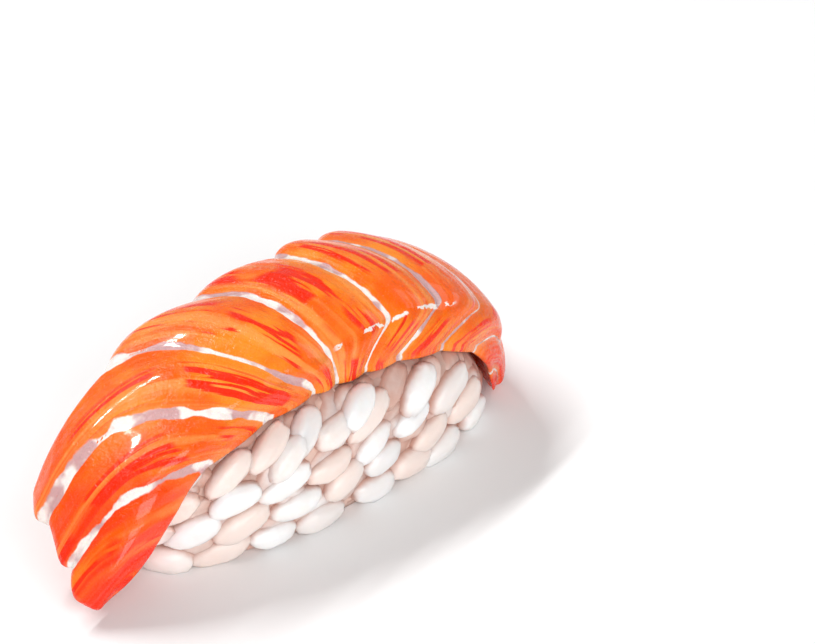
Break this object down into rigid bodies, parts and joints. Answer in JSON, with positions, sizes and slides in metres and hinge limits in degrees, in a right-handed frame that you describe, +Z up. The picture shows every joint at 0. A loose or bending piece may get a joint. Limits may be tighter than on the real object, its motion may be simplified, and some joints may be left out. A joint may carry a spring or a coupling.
{
  "type": "salmon nigiri",
  "caption": "Hand-pressed oblong of sushi rice under a draped slice of raw salmon with pale fat lines. Rests on its flat underside.",
  "frame": {"origin": "middle of the rice's flat underside, on the board it stands on", "axes": "+X along the rice, away from the slice's long hanging tip; -Y towards the side where the slice's cut edge shows; +Z up"},
  "size_m": [0.0676, 0.0289, 0.023],
  "materials": {
    "rice_grains": "cooked rice, white and slightly translucent, moist satin",
    "salmon_flesh": "raw salmon, orange with white fat lines, wet gloss"
  },
  "bodies": {
    "root": {"rice": "rice_grains", "salmon": "salmon_flesh"}
  },
  "joints": []
}
